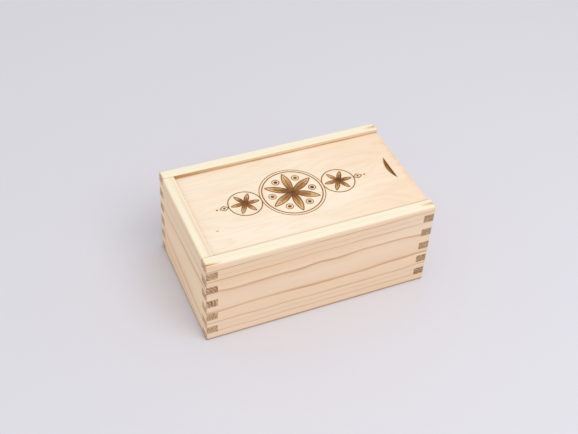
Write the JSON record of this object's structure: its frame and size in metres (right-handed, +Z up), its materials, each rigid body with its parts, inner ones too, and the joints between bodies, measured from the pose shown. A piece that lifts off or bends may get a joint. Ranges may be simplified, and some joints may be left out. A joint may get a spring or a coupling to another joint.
{
  "type": "keepsake box",
  "caption": "Rectangular pine box with finger-jointed corners and a plywood lid that slides out lengthwise by a thumb notch.",
  "frame": {"origin": "middle of the footprint, on the plane that the box stands on", "axes": "+X towards the open end, the way the lid slides out; +Y from front to back; +Z up"},
  "size_m": [0.204, 0.12, 0.088],
  "materials": {
    "pine_wall": "planed and sanded, unfinished",
    "plywood_lid": "sanded veneer, unfinished",
    "plywood_bottom": "sanded veneer, unfinished"
  },
  "bodies": {
    "box": {"front_wall": "pine_wall", "back_wall": "pine_wall", "closed_end_wall": "pine_wall", "open_end_wall": "pine_wall", "bottom_panel": "plywood_bottom"},
    "lid": {"lid": "plywood_lid"}
  },
  "joints": [
    {"name": "lid_slide", "type": "slide", "parent": "box", "child": "lid", "axis": [1, 0, 0], "range_m": [0, 0.2]}
  ]
}
